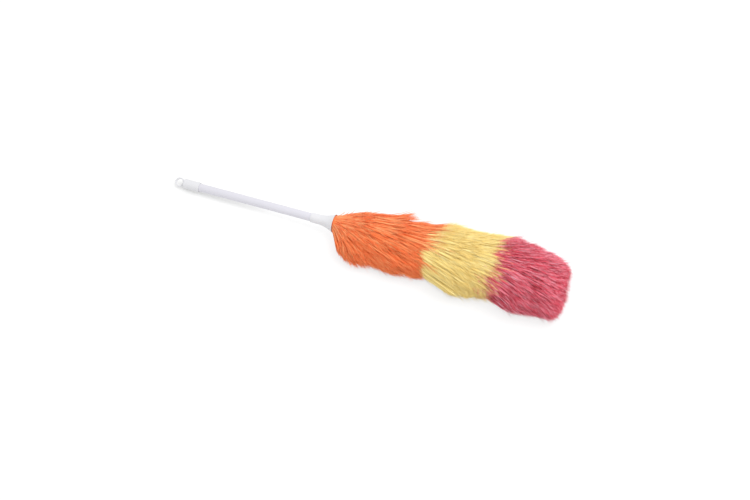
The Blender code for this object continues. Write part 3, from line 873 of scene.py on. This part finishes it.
def make_wool(name, node, strands, paths, roots, paint):
    """One piece of wool: its strands, and the solid roots that they grow from."""
    wool = strands.wool
    size = strands.each_strand(*STRAND_SIZES)
    half_width = wool.strand_width / 2 * size
    half_thick = wool.strand_thickness / 2 * size
    paths = on_table(strands, paths, half_width)
    twist = strands.each_strand(-1, 1) * wool.twist
    mesh, station, strand = strands_mesh(paths, half_width, half_thick, twist, wool.settle)
    # Painted shade: the tone is darker towards each strand's root, where the strands shade each other.
    tone = strands.tones()[strand] - wool.painted_root_shade * (1 - STATIONS[station])
    add_shape(mesh, roots)
    values = np.full(len(mesh.vertices), ROOT_TONE, np.float32)
    values[:tone.size] = np.clip(tone, 0, 1).ravel()
    mesh.attributes.new("tone", "FLOAT", "POINT").data.foreach_set("value", values)
    mesh.shade_flat()
    mesh.materials.append(paint)
    piece = add_object(name, mesh)
    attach(piece, BODY)
    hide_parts(node)


def make_bundles(slot, paint, wool):
    """All the bundles of one colour."""
    for place in range(BUNDLES[slot]):
        number = FIRST_OF_COLOUR[slot] + place
        strands = Strands(wool, number)
        paths = bundle_paths(strands, number)
        roots = root_band(FIRST_ROOT + BUNDLE_PITCH * number)
        node = f"{slot}_{place + 1}"
        make_wool(f"{slot}_strands_{place + 1}", node, strands, paths, roots, paint)


class DUSTER_OT_orange_wool(bpy.types.Operator):
    """Makes the orange bundles of wool, nearest the handle"""

    bl_idname = "duster.orange_wool"
    bl_label = "Orange Wool"

    def execute(self, context):
        scene = context.scene
        make_bundles("orange_wool", film_paint(scene.duster_colours, "orange"), scene.duster_wool)
        return {"FINISHED"}


class DUSTER_OT_yellow_wool(bpy.types.Operator):
    """Makes the yellow bundles of wool, in the middle"""

    bl_idname = "duster.yellow_wool"
    bl_label = "Yellow Wool"

    def execute(self, context):
        scene = context.scene
        make_bundles("yellow_wool", film_paint(scene.duster_colours, "yellow"), scene.duster_wool)
        return {"FINISHED"}


class DUSTER_OT_pink_wool(bpy.types.Operator):
    """Makes the pink bundles of wool and the tuft on the tip"""

    bl_idname = "duster.pink_wool"
    bl_label = "Pink Wool"

    def execute(self, context):
        wool = context.scene.duster_wool
        paint = film_paint(context.scene.duster_colours, "pink")
        make_bundles("pink_wool", paint, wool)
        strands = Strands(wool, LAST_BUNDLE + 1)
        paths = tip_paths(strands)
        make_wool("tip_tuft_strands", "tip_tuft", strands, paths, tip_block(), paint)
        return {"FINISHED"}


def dress(node, material):
    """Gives a fixed piece its finish."""
    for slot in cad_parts[node].material_slots:
        slot.material = material


class DUSTER_OT_handle_finish(bpy.types.Operator):
    """Finishes the hang cap, the handle tube and the ferrule"""

    bl_idname = "duster.handle_finish"
    bl_label = "Handle Finish"

    def execute(self, context):
        look = context.scene.duster_colours
        plastic = moulded_paint("satin_plastic", look.plastic, look.plastic_roughness, 1800.0)
        dress("hang_cap", plastic)
        dress("ferrule", plastic)
        dress("handle_tube", drawn_paint("drawn_tube", look.tube, look.tube_roughness))
        return {"FINISHED"}


class DUSTER_OT_core_finish(bpy.types.Operator):
    """Finishes the core rod and the rings that bind the wool"""

    bl_idname = "duster.core_finish"
    bl_label = "Core Finish"

    def execute(self, context):
        look = context.scene.duster_colours
        dress("core_rod", moulded_paint("rod_plastic", look.rod, look.rod_roughness, 1200.0))
        wire = moulded_paint("binding_wire", look.metal, look.metal_roughness, 2500.0)
        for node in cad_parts:
            if node.startswith("binding_ring"):
                dress(node, wire)
        return {"FINISHED"}


def make_table():
    """The table top, which is there for the picture alone."""
    shape = bmesh.new()
    bmesh.ops.create_grid(shape, x_segments=1, y_segments=1, size=TABLE_HALF_WIDTH)
    mesh = bpy.data.meshes.new("table_top")
    shape.to_mesh(mesh)
    shape.free()
    mesh.materials.append(table_paint("table_white"))
    add_object("table_top", mesh)


def make_even_light(scene, strength):
    """Plain white light from all sides."""
    world = bpy.data.worlds.new("even_light")
    scene.world = world
    world.use_nodes = True
    background = world.node_tree.nodes["Background"]
    background.inputs["Color"].default_value = (*WHITE, 1)
    background.inputs["Strength"].default_value = strength


def make_key_lamp(power):
    """A big soft lamp, turned to the middle of the duster."""
    data = bpy.data.lights.new("key_lamp", "AREA")
    data.energy = power
    data.shape = "DISK"
    data.size = KEY_LAMP_SIZE
    lamp = add_object("key_lamp", data)
    lamp.location = KEY_LAMP_PLACE
    lamp.rotation_euler = (-KEY_LAMP_PLACE).to_track_quat("-Z", "Y").to_euler()


def make_camera(scene, setting):
    """The camera, turned round what it looks at."""
    data = bpy.data.cameras.new("camera")
    data.lens = setting.lens
    camera = add_object("camera", data)
    back = Vector((
        math.sin(setting.azimuth) * math.cos(setting.elevation),
        -math.cos(setting.azimuth) * math.cos(setting.elevation),
        math.sin(setting.elevation),
    ))
    camera.location = Vector(setting.target) + back * setting.distance
    camera.rotation_euler = (-back).to_track_quat("-Z", "Y").to_euler()
    scene.camera = camera


class DUSTER_OT_stage(bpy.types.Operator):
    """Makes the table top, the lamp, the even light and the camera"""

    bl_idname = "duster.stage"
    bl_label = "Stage"

    def execute(self, context):
        scene = context.scene
        setting = scene.duster_stage
        make_table()
        make_even_light(scene, setting.sky)
        make_key_lamp(setting.key)
        make_camera(scene, setting)
        scene.view_settings.view_transform = "Standard"
        return {"FINISHED"}


class DUSTER_PT_panel(bpy.types.Panel):
    """Lists the duster's pieces and its settings"""

    bl_idname = "DUSTER_PT_panel"
    bl_label = "Polywool Duster"
    bl_space_type = "VIEW_3D"
    bl_region_type = "UI"
    bl_category = "Duster"

    def draw(self, context):
        for operator in OPERATORS:
            self.layout.operator(operator.bl_idname)
        for name, group in GROUPS.items():
            box = self.layout.box()
            for key in group.__annotations__:
                box.prop(getattr(context.scene, name), key)


OPERATORS = (
    DUSTER_OT_stage,
    DUSTER_OT_handle_finish,
    DUSTER_OT_core_finish,
    DUSTER_OT_orange_wool,
    DUSTER_OT_yellow_wool,
    DUSTER_OT_pink_wool,
)
GROUPS = {"duster_wool": DusterWool, "duster_colours": DusterColours, "duster_stage": DusterStage}
CLASSES = (*GROUPS.values(), *OPERATORS, DUSTER_PT_panel)


def register():
    for kind in CLASSES:
        bpy.utils.register_class(kind)
    for name, group in GROUPS.items():
        setattr(bpy.types.Scene, name, bpy.props.PointerProperty(type=group))


def unregister():
    for name in GROUPS:
        delattr(bpy.types.Scene, name)
    for kind in reversed(CLASSES):
        bpy.utils.unregister_class(kind)


def main():
    register()
    for operator in OPERATORS:
        area, name = operator.bl_idname.split(".")
        getattr(getattr(bpy.ops, area), name)()


if __name__ == "__main__":
    main()
